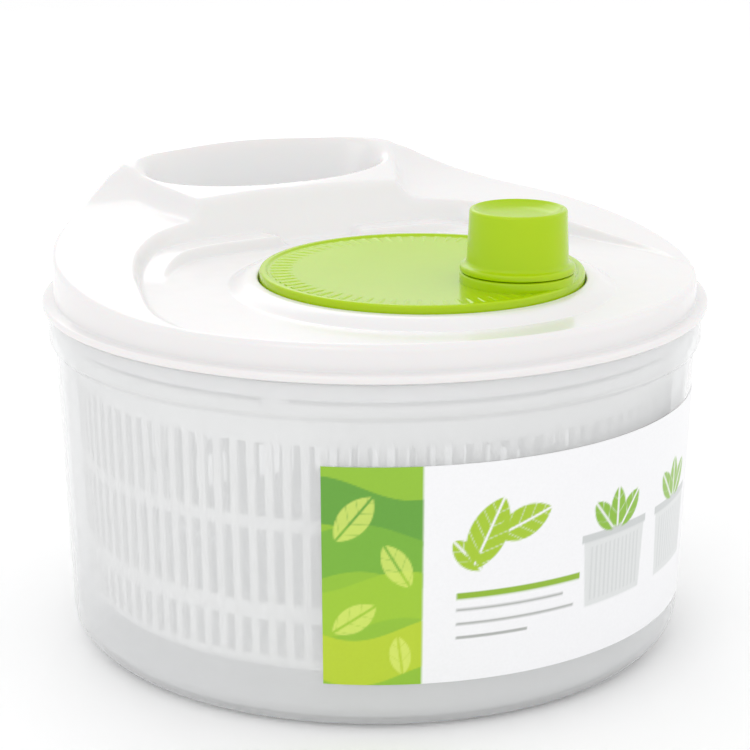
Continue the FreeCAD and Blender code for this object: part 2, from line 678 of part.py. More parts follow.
def make_knob():
    """Hollow knob with a dished top; its inner sleeve turns on the disc's post."""
    sleeve = "post_radius + 0.8 * running_gap"
    ceiling = "knob_top - 4.5"
    stem_end = "pad_top + 5.3"
    return turned("knob", [
        ("0", "knob_top - 2.1"),
        ("12", "knob_top - 1.8"),
        ("12.9", "knob_top - 0.2"),
        ("13.7", "knob_top"),
        ("14.3", "knob_top - 0.7"),
        ("15", "pad_top + 2.7"),
        ("knob_skirt", "pad_top + 2.1"),
        ("knob_skirt", "pad_top + 0.3"),
        ("12.6", "pad_top + 0.3"),
        ("12.3", ceiling),
        ("11", ceiling),
        ("11", "pad_top + 0.6"),
        (sleeve, "pad_top + 0.6"),
        (sleeve, ceiling),
        ("2.9", ceiling),
        ("2.9", stem_end),
        ("1.1", stem_end),
        ("1.1", "knob_top - 5.4"),
        ("0", "knob_top - 5.4"),
    ], place=KNOB_PLACE + ("0",))


# ------------------------------------------------------------------ the whole object

parts = [
    make_bowl(),
    make_label(),
    make_basket(),
    make_lid(),
    make_gear_housing(),
    make_housing_screws(),
    washer("pinion_bush", "journal_radius + 0.8 * running_gap", "bush_radius", "boss_base",
           "tray_top"),
    washer("thrust_washer", "journal_radius + 0.1", "8.2", "tray_top + 0.1", "tray_top + 0.5"),
    make_pinion(),
    make_drive_plate(),
    washer("drive_washer", "1.4", "7", "plate_base - 2.8", "plate_base - 2"),
    screw("drive_screw", "0", "0", "plate_base - 4", 2.8, 1.2, 1.25, 8),
    make_ring_gear(),
    make_crank_disc(),
    make_disc_screws(),
    washer("crank_washer", "1.4", "7.6", "tray_base - 0.95", "tray_base - 0.15",
           place=("0", CRANK_Y, "0")),
    screw("crank_screw", "0", CRANK_Y, "tray_base - 2.25", 2.8, 1.3, 1.25, 6.5),
    make_knob(),
    washer("knob_washer", "1.3", "5.2", "pad_top + 4.5", "pad_top + 5.3",
           place=KNOB_PLACE + ("0",)),
    screw("knob_screw", KNOB_PLACE[0], KNOB_PLACE[1], "pad_top + 3.3", 2.6, 1.2, 1.05, 6.5),
]

doc.recompute()

for thing in doc.Objects:
    if "Invalid" in thing.State or "Error" in thing.State:
        raise RuntimeError("%s failed: %s" % (thing.Name, thing.State))

os.makedirs("parts", exist_ok=True)
for part in parts:
    shape = part.Shape
    if shape.isNull() or not shape.isValid():
        raise RuntimeError(part.Label + " has no valid shape")
    box = shape.optimalBoundingBox()
    print("%-16s solids %2d  volume %9.0f  x %.1f..%.1f  y %.1f..%.1f  z %.1f..%.1f" % (
        part.Label, len(shape.Solids), shape.Volume,
        box.XMin, box.XMax, box.YMin, box.YMax, box.ZMin, box.ZMax))
    shape.exportStep("parts/%s.step" % part.Label)
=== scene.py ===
import math

import bpy
import numpy as np
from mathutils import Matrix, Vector


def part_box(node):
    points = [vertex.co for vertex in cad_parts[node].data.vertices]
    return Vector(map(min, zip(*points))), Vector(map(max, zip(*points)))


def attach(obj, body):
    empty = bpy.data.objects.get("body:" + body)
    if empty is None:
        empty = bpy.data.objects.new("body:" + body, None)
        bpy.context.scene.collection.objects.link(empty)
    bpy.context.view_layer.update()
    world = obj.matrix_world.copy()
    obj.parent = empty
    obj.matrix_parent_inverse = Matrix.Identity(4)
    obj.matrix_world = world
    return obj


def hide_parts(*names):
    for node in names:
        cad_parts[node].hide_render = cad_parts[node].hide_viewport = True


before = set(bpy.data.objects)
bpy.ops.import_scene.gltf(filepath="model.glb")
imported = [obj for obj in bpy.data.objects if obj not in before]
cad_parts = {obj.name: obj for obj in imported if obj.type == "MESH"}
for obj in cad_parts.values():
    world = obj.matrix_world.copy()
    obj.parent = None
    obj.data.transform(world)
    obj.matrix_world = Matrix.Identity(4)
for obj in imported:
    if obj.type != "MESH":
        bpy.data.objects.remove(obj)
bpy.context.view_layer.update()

bl_info = {
    "name": "Crank salad spinner",
    "version": (1, 0, 0),
    "blender": (4, 5, 0),
    "location": "View3D > Sidebar > Spinner",
    "description": "Builds the visible shells and finishes of a crank salad spinner round its CAD frame",
    "category": "Object",
}

MM = 0.001


# ------------------------------------------------------------------ places read from the frame

def top_of(node):
    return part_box(node)[1][2] / MM


def base_of(node):
    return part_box(node)[0][2] / MM


def centre_of(node):
    low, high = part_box(node)
    return ((low[0] + high[0]) / 2 / MM, (low[1] + high[1]) / 2 / MM)


DISC_CENTRE = (0.0, centre_of("crank_washer")[1])
KNOB_CENTRE = centre_of("knob_washer")
DISC_RADIUS = 48.7
LID_FLANGE = 103.0
BOWL_RIM = top_of("bowl")
BASKET_RIM = top_of("basket")
BASKET_BASE = base_of("basket")
KNOB_TOP = top_of("knob")
KNOB_BASE = base_of("knob")


# ------------------------------------------------------------------ colour and nodes

def linear(text):
    """An sRGB hex colour as linear red, green and blue."""
    channels = [int(text[i:i + 2], 16) / 255 for i in (1, 3, 5)]
    return tuple(c / 12.92 if c <= 0.04045 else ((c + 0.055) / 1.055) ** 2.4 for c in channels)


def add_node(tree, kind, links=(), **settings):
    """Add a node; a setting names an attribute, or an input socket with _ for space.

    links is a list of (output socket, input socket name or number)."""
    node = tree.nodes.new(kind)
    for key, value in settings.items():
        if hasattr(node, key):
            setattr(node, key, value)
        else:
            node.inputs[int(key[1:]) if key[1:].isdigit() else key.replace("_", " ")].default_value = value
    for output, target in links:
        tree.links.new(output, node.inputs[target])
    return node


def start_material(name):
    material = bpy.data.materials.new(name)
    material.use_nodes = True
    tree = material.node_tree
    tree.nodes.clear()
    shader = add_node(tree, "ShaderNodeBsdfPrincipled")
    add_node(tree, "ShaderNodeOutputMaterial", [(shader.outputs[0], "Surface")])
    return material, tree, shader


def per_metre(size_mm):
    """Noise scale whose features are about size_mm across."""
    return 1000.0 / size_mm


def mottled(tree, where, size_mm, low, high, detail=3.0):
    """A noise in Object coordinates mapped to between two values or colours."""
    noise = add_node(tree, "ShaderNodeTexNoise", [(where, "Vector")],
                     Scale=per_metre(size_mm), Detail=detail, Roughness=0.55)
    if isinstance(low, tuple):
        return add_node(tree, "ShaderNodeMix", [(noise.outputs["Fac"], 0)],
                        data_type="RGBA", _6=(*low, 1), _7=(*high, 1)).outputs[2]
    return add_node(tree, "ShaderNodeMapRange", [(noise.outputs["Fac"], "Value")],
                    _3=low, _4=high).outputs["Result"]


def moulded_skin(tree, shader, size_mm, depth_mm, strength):
    """The faint unevenness of an injection-moulded wall, as bump."""
    place = add_node(tree, "ShaderNodeTexCoord").outputs["Object"]
    height = add_node(tree, "ShaderNodeTexNoise", [(place, "Vector")],
                      Scale=per_metre(size_mm), Detail=2.0).outputs["Fac"]
    bump = add_node(tree, "ShaderNodeBump", [(height, "Height")],
                    Strength=strength, Distance=depth_mm * MM)
    tree.links.new(bump.outputs[0], shader.inputs["Normal"])
    return place


# ------------------------------------------------------------------ finishes

def frosted_polypropylene(colour):
    """Natural polypropylene, moulded and left uncoloured.

    It is made as a partly see-through white surface, so what lies behind it shows pale."""
    material, tree, shader = start_material("frosted_polypropylene")
    place = moulded_skin(tree, shader, 22.0, 0.25, 0.25)
    tree.links.new(mottled(tree, place, 60.0, colour, tuple(c * 0.97 for c in colour)),
                   shader.inputs["Base Color"])
    tree.links.new(mottled(tree, place, 9.0, 0.16, 0.24), shader.inputs["Roughness"])
    shader.inputs["IOR"].default_value = 1.49
    shader.inputs["Alpha"].default_value = 0.44
    return material


def milky_polypropylene(colour):
    """White polypropylene with little pigment, moulded in a polished tool.

    It looks milky: light goes a little way in, and the skin gives soft broad highlights."""
    material, tree, shader = start_material("milky_polypropylene")
    place = moulded_skin(tree, shader, 30.0, 0.3, 0.2)
    tree.links.new(mottled(tree, place, 45.0, colour, tuple(c * 0.97 for c in colour)),
                   shader.inputs["Base Color"])
    tree.links.new(mottled(tree, place, 6.0, 0.17, 0.25), shader.inputs["Roughness"])
    shader.inputs["IOR"].default_value = 1.49
    shader.inputs["Subsurface Weight"].default_value = 0.12
    shader.inputs["Subsurface Scale"].default_value = 0.002
    shader.inputs["Coat Weight"].default_value = 0.25
    shader.inputs["Coat Roughness"].default_value = 0.12
    return material


def basket_polypropylene(colour):
    """Thin white polypropylene, moulded with a satin skin."""
    material, tree, shader = start_material("basket_polypropylene")
    place = moulded_skin(tree, shader, 12.0, 0.2, 0.3)
    tree.links.new(mottled(tree, place, 30.0, colour, tuple(c * 0.94 for c in colour)),
                   shader.inputs["Base Color"])
    tree.links.new(mottled(tree, place, 4.0, 0.3, 0.42), shader.inputs["Roughness"])
    shader.inputs["IOR"].default_value = 1.49
    return material


def lime_abs(colour, deep):
    """Lime ABS, moulded in a polished tool: a saturated body under a hard glossy skin."""
    material, tree, shader = start_material("glossy_lime_abs")
    place = moulded_skin(tree, shader, 18.0, 0.12, 0.15)
    tree.links.new(mottled(tree, place, 35.0, colour, deep), shader.inputs["Base Color"])
    tree.links.new(mottled(tree, place, 3.0, 0.16, 0.24), shader.inputs["Roughness"])
    shader.inputs["IOR"].default_value = 1.53
    shader.inputs["Subsurface Weight"].default_value = 0.12
    shader.inputs["Subsurface Scale"].default_value = 0.002
    shader.inputs["Specular IOR Level"].default_value = 0.27
    shader.inputs["Coat Weight"].default_value = 0.08
    shader.inputs["Coat Roughness"].default_value = 0.05
    return material


def acetal(colour):
    """Natural acetal, the waxy white plastic of small gears, with a fine moulded grain."""
    material, tree, shader = start_material("acetal")
    place = moulded_skin(tree, shader, 1.2, 0.05, 0.3)
    tree.links.new(mottled(tree, place, 8.0, colour, tuple(c * 0.93 for c in colour)),
                   shader.inputs["Base Color"])
    tree.links.new(mottled(tree, place, 2.0, 0.34, 0.46), shader.inputs["Roughness"])
    shader.inputs["IOR"].default_value = 1.48
    return material


def zinc_plated_steel():
    """Bright zinc plating on small pressed and rolled fasteners: grey metal, faintly blotched."""
    material, tree, shader = start_material("zinc_plated_steel")
    place = moulded_skin(tree, shader, 0.8, 0.02, 0.3)
    tree.links.new(mottled(tree, place, 1.5, linear("#C9CACC"), linear("#A9ABB0")),
                   shader.inputs["Base Color"])
    tree.links.new(mottled(tree, place, 1.0, 0.22, 0.4), shader.inputs["Roughness"])
    shader.inputs["Metallic"].default_value = 1.0
    return material


def printed_film():
    """Coated label film, printed offset: flat inks with a faint paper tooth under a satin varnish."""
    material, tree, shader = start_material("varnished_label_film")
    place = moulded_skin(tree, shader, 0.7, 0.03, 0.25)
    ink = add_node(tree, "ShaderNodeAttribute", attribute_name="ink")
    grain = mottled(tree, place, 0.9, (1.0, 1.0, 1.0), (0.94, 0.94, 0.94))
    printed = add_node(tree, "ShaderNodeMix", [(ink.outputs["Color"], 6), (grain, 7)],
                       data_type="RGBA", blend_type="MULTIPLY", _0=1.0)
    tree.links.new(printed.outputs[2], shader.inputs["Base Color"])
    tree.links.new(mottled(tree, place, 5.0, 0.3, 0.38), shader.inputs["Roughness"])
    shader.inputs["Coat Weight"].default_value = 0.2
    shader.inputs["Coat Roughness"].default_value = 0.2
    return material


def studio_paper():
    """Pale seamless paper for the floor."""
    material, tree, shader = start_material("studio_paper")
    place = moulded_skin(tree, shader, 3.0, 0.1, 0.05)
    tree.links.new(mottled(tree, place, 300.0, linear("#FBFBFB"), linear("#F9F9F9")),
                   shader.inputs["Base Color"])
    shader.inputs["Roughness"].default_value = 0.8
    return material


# ------------------------------------------------------------------ meshes

def mesh_piece(name, points_mm, faces, material, smooth_angle=35):
    """A closed mesh piece from points in millimetres; its faces are turned outwards."""
    points = np.asarray(points_mm, dtype=float) * MM
    mesh = bpy.data.meshes.new(name)
    mesh.from_pydata(points.tolist(), [], faces)
    mesh.validate()
    if signed_volume(points, faces) < 0:
        mesh.flip_normals()
    mesh.materials.append(material)
    mesh.shade_smooth()
    piece = bpy.data.objects.new(name, mesh)
    bpy.context.scene.collection.objects.link(piece)
    mesh.set_sharp_from_angle(angle=math.radians(smooth_angle))
    return piece


def signed_volume(points, faces):
    """Six times the volume inside the faces; negative when they point inwards."""
    total = 0.0
    for face in faces:
        first = points[face[0]]
        for second, third in zip(face[1:], face[2:]):
            total += float(np.dot(first, np.cross(points[second], points[third])))
    return total


def ring_faces(ring_count, around, closed, offset=0):
    """Quads between rings of points; closed joins the last ring to the first."""
    faces = []
    last = ring_count if closed else ring_count - 1
    for ring in range(last):
        a = offset + ring * around
        b = offset + ((ring + 1) % ring_count) * around
        for k in range(around):
            j = (k + 1) % around
            faces.append((a + k, a + j, b + j, b + k))
    return faces


def lathe(profile, around=192, centre=(0.0, 0.0)):
    """Points and faces of a profile of (radius, height) turned about a vertical axis.

    A profile that starts and ends on the axis is capped there; any other is closed on itself."""
    on_axis = profile[0][0] == 0 and profile[-1][0] == 0
    turned = profile[1:-1] if on_axis else profile
    angles = np.arange(around) * 2 * math.pi / around
    circle = np.stack([np.cos(angles), np.sin(angles)], 1)
    rows = [np.column_stack([circle * r + centre, np.full(around, z)]) for r, z in turned]
    points = np.concatenate(rows)
    faces = ring_faces(len(turned), around, not on_axis)
    if on_axis:
        poles = [(centre[0], centre[1], profile[0][1]), (centre[0], centre[1], profile[-1][1])]
        first_pole, last_pole = len(points), len(points) + 1
        last_ring = (len(turned) - 1) * around
        points = np.concatenate([points, poles])
        for k in range(around):
            j = (k + 1) % around
            faces.append((first_pole, j, k))
            faces.append((last_ring + k, last_ring + j, last_pole))
    return points, faces


def arc_bar(profile, middle, sweep, steps=44):
    """Points and faces of a closed profile of (radius, height) carried along an arc, ends shut."""
    angles = math.radians(middle) + math.radians(sweep) * (np.arange(steps + 1) / steps - 0.5)
    points = np.array([(r * math.cos(a), r * math.sin(a), z) for a in angles for r, z in profile])
    around, last = len(profile), steps * len(profile)
    faces = ring_faces(steps + 1, around, False)
    faces.append(tuple(range(around - 1, -1, -1)))
    faces.append(tuple(range(last, last + around)))
    return points, faces


def joined(shapes):
    """Several (points, faces) as one."""
    points, faces, offset = [], [], 0
    for shape_points, shape_faces in shapes:
        points.append(shape_points)
        faces += [tuple(i + offset for i in face) for face in shape_faces]
        offset += len(shape_points)
    return np.concatenate(points), faces


def rounded(corners, steps=4):
    """A profile from corners (radius, height, rounding); each corner becomes an arc."""
    result = []
    count = len(corners)
    for index, (r, z, rounding) in enumerate(corners):
        if rounding == 0:
            result.append((r, z))
            continue
        here = np.array([r, z])
        before = np.array(corners[index - 1][:2]) - here
        after = np.array(corners[(index + 1) % count][:2]) - here
        before_length, after_length = np.linalg.norm(before), np.linalg.norm(after)
        before, after = before / before_length, after / after_length
        half = math.acos(max(-1, min(1, float(before @ after)))) / 2
        reach = min(rounding / math.tan(half), before_length * 0.49, after_length * 0.49)
        radius = reach * math.tan(half)
        middle = here + (before + after) / np.linalg.norm(before + after) * radius / math.sin(half)
        start, end = here + before * reach - middle, here + after * reach - middle
        turn = math.atan2(start[0] * end[1] - start[1] * end[0], float(start @ end))
        for step in range(steps + 1):
            angle = turn * step / steps
            x = start[0] * math.cos(angle) - start[1] * math.sin(angle)
            y = start[0] * math.sin(angle) + start[1] * math.cos(angle)
            result.append((float(middle[0] + x), float(middle[1] + y)))
    return result


def bar(inner, outer, low, high, width, lean=0.0):
    """A box standing at angle 0; lean moves its top outwards."""
    half = width / 2
    points = [(r + (lean if z == high else 0.0), y, z)
              for z in (low, high) for r in (inner, outer) for y in (-half, half)]
    faces = [(0, 1, 3, 2), (4, 6, 7, 5), (0, 4, 5, 1), (2, 3, 7, 6), (0, 2, 6, 4), (1, 5, 7, 3)]
    return np.array(points, dtype=float), faces


# ------------------------------------------------------------------ copies in a ring

def ring_of_copies_tree():
    """Geometry Nodes: copies of the input geometry turned about a vertical axis."""
    tree = bpy.data.node_groups.new("ring_of_copies", "GeometryNodeTree")
    face = tree.interface
    face.new_socket("Geometry", in_out="INPUT", socket_type="NodeSocketGeometry")
    for name, kind in (("Copies", "NodeSocketInt"), ("First angle", "NodeSocketFloat"),
                       ("Centre", "NodeSocketVector"), ("Finish", "NodeSocketMaterial")):
        face.new_socket(name, in_out="INPUT", socket_type=kind)
    face.new_socket("Geometry", in_out="OUTPUT", socket_type="NodeSocketGeometry")
    given = add_node(tree, "NodeGroupInput").outputs
    step = add_node(tree, "ShaderNodeMath", [(given["Copies"], 1)], operation="DIVIDE",
                    _0=2 * math.pi)
    index = add_node(tree, "GeometryNodeInputIndex")
    angle = add_node(tree, "ShaderNodeMath",
                     [(index.outputs[0], 0), (step.outputs[0], 1), (given["First angle"], 2)],
                     operation="MULTIPLY_ADD")
    turn = add_node(tree, "ShaderNodeCombineXYZ", [(angle.outputs[0], "Z")])
    line = add_node(tree, "GeometryNodeMeshLine", [(given["Copies"], "Count")],
                    Offset=(0.0, 0.0, 0.0))
    copies = add_node(tree, "GeometryNodeInstanceOnPoints",
                      [(line.outputs[0], "Points"), (given["Geometry"], "Instance"),
                       (turn.outputs[0], "Rotation")])
    moved = add_node(tree, "GeometryNodeTransform",
                     [(copies.outputs[0], "Geometry"), (given["Centre"], "Translation")])
    real = add_node(tree, "GeometryNodeRealizeInstances", [(moved.outputs[0], "Geometry")])
    finish = add_node(tree, "GeometryNodeSetMaterial",
                      [(real.outputs[0], "Geometry"), (given["Finish"], "Material")])
    add_node(tree, "NodeGroupOutput", [(finish.outputs[0], 0)])
    return tree


def ring_of_copies(name, shape, copies, material, first=0.0, centre=(0.0, 0.0, 0.0)):
    """A plain mesh of copies of a shape, which is given relative to the axis at centre."""
    seed = mesh_piece(name + "_one", shape[0], shape[1], material)
    tree = bpy.data.node_groups.get("ring_of_copies") or ring_of_copies_tree()
    modifier = seed.modifiers.new("ring_of_copies", "NODES")
    modifier.node_group = tree
    values = {"Copies": copies, "First angle": first, "Finish": material,
              "Centre": tuple(c * MM for c in centre)}
    for item in tree.interface.items_tree:
        if item.in_out == "INPUT" and item.name in values:
            modifier[item.identifier] = values[item.name]
    bpy.context.view_layer.update()
    evaluated = seed.evaluated_get(bpy.context.evaluated_depsgraph_get())
    mesh = bpy.data.meshes.new_from_object(evaluated)
    mesh.name = name
    bpy.data.objects.remove(seed)
    piece = bpy.data.objects.new(name, mesh)
    bpy.context.scene.collection.objects.link(piece)
    return piece


def settle(piece, body, slot_name, *nodes):
    """Say what body a piece moves with, and hide the CAD nodes it stands for. slot_name is not used."""
    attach(piece, body)
    if nodes:
        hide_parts(*nodes)


def finish_named(name):
    return bpy.data.materials[name]


# ------------------------------------------------------------------ the lid's shape

SHOULDER_Y = (-45.0, -24.0, 6.0, 34.0, 56.0, 68.0, 76.0, 82.0, 88.0, 104.0)
SHOULDER_Z = (115.0, 116.3, 119.0, 122.1, 124.6, 127.6, 131.6, 135.6, 137.6, 138.2)
FOOT = ((0.0, 42.5), (25.0, 42.3), (41.0, 40.5), (55.0, 35.0), (66.0, 24.0), (75.0, 8.0),
        (81.0, -10.0), (86.0, -30.0))
BROW = ((0.0, 62.5), (27.0, 61.5), (46.0, 58.0), (61.0, 46.0), (73.5, 30.0), (83.0, 12.0),
        (89.5, -7.0), (94.5, -29.0))
SCOOP_CENTRE_Y = -35.0
SCOOP_RISE = 25.0
LID_TOP = 115.0
LID_RADIUS = 99.4
EDGE_ROUND = 2.0
GRIP_CENTRE_Y = 78.0
GRIP_HALF = (41.6, 17.2)
GRIP_FLOOR = 107.6
SHELF_RISE = 3.4
COLLAR_OUTER = 58.5
COLLAR_SHOULDER = 51.4
COLLAR_HEIGHT = 118.0
WELL_RADIUS = 49.15


def smooth_max(a, b, k):
    """Maximum of two surfaces with a blend about k wide."""
    mix = np.clip(0.5 + 0.5 * (a - b) / k, 0, 1)
    return b + (a - b) * mix + k * mix * (1 - mix)


def smooth_min(a, b, k):
    return -smooth_max(-a, -b, k)


def smooth_step(share):
    share = np.clip(share, 0, 1)
    return share * share * (3 - 2 * share)


def smooth_curve(knots_x, knots_y):
    """A cubic Hermite curve through knots, with slopes that don't overshoot."""
    xs, ys = np.array(knots_x, float), np.array(knots_y, float)
    steps, rises = np.diff(xs), np.diff(ys)
    slopes = rises / steps
    tangents = np.concatenate([[slopes[0]], np.where(
        slopes[:-1] * slopes[1:] > 0,
        2 * slopes[:-1] * slopes[1:] / (slopes[:-1] + slopes[1:] + 1e-12), 0), [slopes[-1]]])

    def curve(x):
        x = np.clip(x, xs[0], xs[-1])
        i = np.clip(np.searchsorted(xs, x) - 1, 0, len(xs) - 2)
        u = (x - xs[i]) / steps[i]
        return ((1 + 2 * u) * (1 - u) ** 2 * ys[i] + u * (1 - u) ** 2 * steps[i] * tangents[i]
                + u * u * (3 - 2 * u) * ys[i + 1] + u * u * (u - 1) * steps[i] * tangents[i + 1])
    return curve


def polar_curve(points):
    """Radius about the scoop's centre against the angle away from +Y."""
    angles = [math.atan2(x, y - SCOOP_CENTRE_Y) for x, y in points]
    radii = [math.hypot(x, y - SCOOP_CENTRE_Y) for x, y in points]
    return smooth_curve(angles, radii)


shoulder_curve = smooth_curve(SHOULDER_Y, SHOULDER_Z)
foot_curve, brow_curve = polar_curve(FOOT), polar_curve(BROW)


def lid_height(x, y):
    """Height of the lid's upper skin over (x, y), all in millimetres."""
    flank = shoulder_curve(y)
    half_length = 47.5 + (y - 78.0) * 0.45
    handle = 129.8 + (y - 56.0) * 0.19 - np.maximum(np.abs(x) - half_length, 0) * 1.15
    hood = smooth_max(flank, np.minimum(handle, 138.4), 5.0)
    reach = np.hypot(x, y - SCOOP_CENTRE_Y)
    angle = np.abs(np.arctan2(x, y - SCOOP_CENTRE_Y))
    foot, brow = foot_curve(angle), brow_curve(angle)
    share = np.maximum((reach - foot) / (brow - foot), -0.2)
    ramp = LID_TOP + SCOOP_RISE * np.sign(share) * np.abs(share) ** 1.12
    skin = smooth_min(hood, ramp, 2.2)
    level = np.full_like(skin, LID_TOP)
    skin = smooth_max(skin, level, 1.6)
    oval = np.hypot(x / GRIP_HALF[0], (y - GRIP_CENTRE_Y) / GRIP_HALF[1])
    recess = GRIP_FLOOR + (oval - 0.72) * 84.0
    recess = smooth_max(recess, np.full_like(recess, GRIP_FLOOR), 6.0)
    skin = np.where(y > 50, smooth_min(skin, recess, 5.0), skin)
    turn = np.degrees(np.arctan2(x, y - SCOOP_CENTRE_Y))
    along = (smooth_step((turn + 61.0) / 24.0) * smooth_step((-9.5 - turn) / 2.5)
             + 0.7 * smooth_step((turn - 9.5) / 2.5) * smooth_step((46.0 - turn) / 18.0))
    inward = smooth_step((reach - foot + 8.5) / 2.6)
    shelf = LID_TOP + SHELF_RISE * along * inward
    skin = smooth_max(skin, shelf, 0.8)
    across = np.hypot(x - DISC_CENTRE[0], y - DISC_CENTRE[1])
    part = np.clip((COLLAR_OUTER - across) / (COLLAR_OUTER - COLLAR_SHOULDER), 0, 1)
    collar = LID_TOP + (COLLAR_HEIGHT - LID_TOP) * np.sin(part * math.pi / 2) ** 1.2
    return np.maximum(skin, collar)


def lid_rings(around, start, end, count, skin, crowd=1.0):
    """Rings of points from a circle round the crank axis out to a circle round the bowl axis."""
    angles = np.arange(around) * 2 * math.pi / around
    inner = np.stack([np.cos(angles), np.sin(angles)], 1) * start + DISC_CENTRE
    outer = np.stack([np.cos(angles), np.sin(angles)], 1) * end
    rings = []
    for share in np.linspace(0, 1, count) ** crowd:
        flat = inner * (1 - share) + outer * share
        rings.append(np.column_stack([flat, skin(flat[:, 0], flat[:, 1])]))
    return rings


def lid_shape(around=480, fine=118, coarse=40):
    """The whole lid as one closed skin: well wall, top, skirt, flange, plug ring and underside."""
    angles = np.arange(around) * 2 * math.pi / around
    circle = np.stack([np.cos(angles), np.sin(angles)], 1)

    def level_ring(radius, height, centre=(0.0, 0.0)):
        return np.column_stack([circle * radius + centre, np.full(around, height)])

    rings = [level_ring(WELL_RADIUS, 107.05, DISC_CENTRE),
             level_ring(WELL_RADIUS, COLLAR_HEIGHT - 0.6, DISC_CENTRE),
             level_ring(WELL_RADIUS + 0.2, COLLAR_HEIGHT - 0.15, DISC_CENTRE)]
    top = lid_rings(around, WELL_RADIUS + 0.6, LID_RADIUS - EDGE_ROUND, fine, lid_height)
    rings += top
    edge = top[-1][:, 2]
    for step in range(1, 6):
        turn = math.pi / 2 * step / 5
        radius = LID_RADIUS - EDGE_ROUND + EDGE_ROUND * math.sin(turn)
        rings.append(np.column_stack([circle * radius, edge - EDGE_ROUND * (1 - math.cos(turn))]))
    lower = rounded([(LID_RADIUS, 112.0, 0), (LID_RADIUS, 107.5, 0.7), (LID_FLANGE, 107.3, 0.9),
                     (LID_FLANGE, 105.1, 0.5), (98.9, 105.1, 0.2), (98.9, 99.0, 0.8),
                     (96.9, 99.0, 0.8), (96.9, 106.8, 0)], 3)
    rings += [level_ring(r, z) for r, z in lower[1:]]

    def underside(x, y):
        return lid_height(x, y) - 2.1
    inside = lid_rings(around, WELL_RADIUS + 2.2, 96.9, coarse, underside)
    rings += inside[::-1]
    rings.append(level_ring(WELL_RADIUS + 2.0, 112.4, DISC_CENTRE))
    rings.append(level_ring(WELL_RADIUS + 2.0, 107.05, DISC_CENTRE))
    return np.concatenate(rings), ring_faces(len(rings), around, True)


# ------------------------------------------------------------------ the label's artwork

# Millimetres from the label's lower left corner.
PANEL_WIDTH = 28.2
WAVE_HALF = 7.0
PANEL_WAVES = ((52, "#5FA02A"), (38, "#74B027"), (24, "#9CC71F"), (10, "#B7CF1C"))
# Leaves as centre across, centre up, length and turn in radians.
PANEL_LEAVES = ((9, 50, 17, 0.9), (21, 36, 15, 2.1), (9, 20, 15, 0.6), (22, 9, 12, 1.7))
SPRIG_LEAVES = ((47, 44, 23, 1.15), (58, 46, 19, 0.35), (41, 38, 13, 2.3))
# Plain bars as length, thickness and ink, from the top one down.
BARS = ((40, 2.0, "#8DB51A"), (34, 0.8, "#A9ABA8"), (38, 0.8, "#A9ABA8"), (22, 0.8, "#A9ABA8"))
BAR_LEFT, BAR_TOP, BAR_PITCH = 38, 26.0, 4.2
POT_CENTRES = (93.0, 128.0)


def inside(distance, edge=0.35):
    """1 inside a shape, 0 outside, with a soft edge; distance is negative inside."""
    return np.clip(0.5 - distance / edge, 0, 1)


def leaf_mask(u, v, centre_u, centre_v, length, turn):
    """A pointed leaf where two circles overlap, with a pale midrib."""
    along = (u - centre_u) * math.cos(turn) + (v - centre_v) * math.sin(turn)
    side = -(u - centre_u) * math.sin(turn) + (v - centre_v) * math.cos(turn)
    radius = length * 0.62
    offset = math.sqrt(radius ** 2 - (length / 2) ** 2)
    body = np.maximum(np.hypot(along, side - offset), np.hypot(along, side + offset)) - radius
    rib = np.abs(side) - 0.35
    veins = np.abs(((along - np.abs(side) * 0.9) % 4.2) - 2.1) - 0.16
    return inside(body) * (1 - inside(rib)) * (1 - 0.55 * inside(veins))


def label_print(u, v):
    """Ink colour at (u, v) in millimetres from the label's lower left corner."""
    paper = np.array(linear("#F3F3F5"))
    colour = np.tile(paper, (len(u), 1))

    def lay(mask, text):
        colour[:] = colour * (1 - mask[:, None]) + np.array(linear(text)) * mask[:, None]

    panel = inside(u - PANEL_WIDTH)
    lay(panel, "#8FBF22")
    for level, text in PANEL_WAVES:
        wave = level + 3.5 * np.sin(u / 8.5 + level) - v
        lay(panel * inside(np.abs(wave) - WAVE_HALF), text)
    for leaf in PANEL_LEAVES:
        lay(panel * 0.75 * leaf_mask(u, v, *leaf), "#D9E86A")
    for leaf in SPRIG_LEAVES:
        lay(leaf_mask(u, v, *leaf), "#A3C614")
    for row, (length, thick, text) in enumerate(BARS):
        level = BAR_TOP - row * BAR_PITCH
        stripe = np.maximum(np.abs(u - BAR_LEFT - length / 2) - length / 2,
                            np.abs(v - level) - thick / 2)
        lay(inside(stripe), text)
    for centre in POT_CENTRES:
        taper = 12.5 + (v - 16) * 0.06
        pot = np.maximum(np.abs(u - centre) - taper, np.abs(v - 25.5) - 10.0)
        lay(inside(pot), "#DDDFDF")
        ribs = np.abs(((u - centre) % 1.9) - 0.95) - 0.35
        lay(inside(np.maximum(pot + 1.8, ribs)) * 0.5, "#C4C7C7")
        rim = np.maximum(np.abs(u - centre) - 14.5, np.abs(v - 36.6) - 1.2)
        lay(inside(rim), "#C9CCCC")
        for tilt in (-0.7, 0.0, 0.7):
            lay(leaf_mask(u, v, centre + 8 * tilt, 43.5 - 2 * abs(tilt), 13, math.pi / 2 - tilt),
                "#86B81C")
    return colour


# ------------------------------------------------------------------ settings

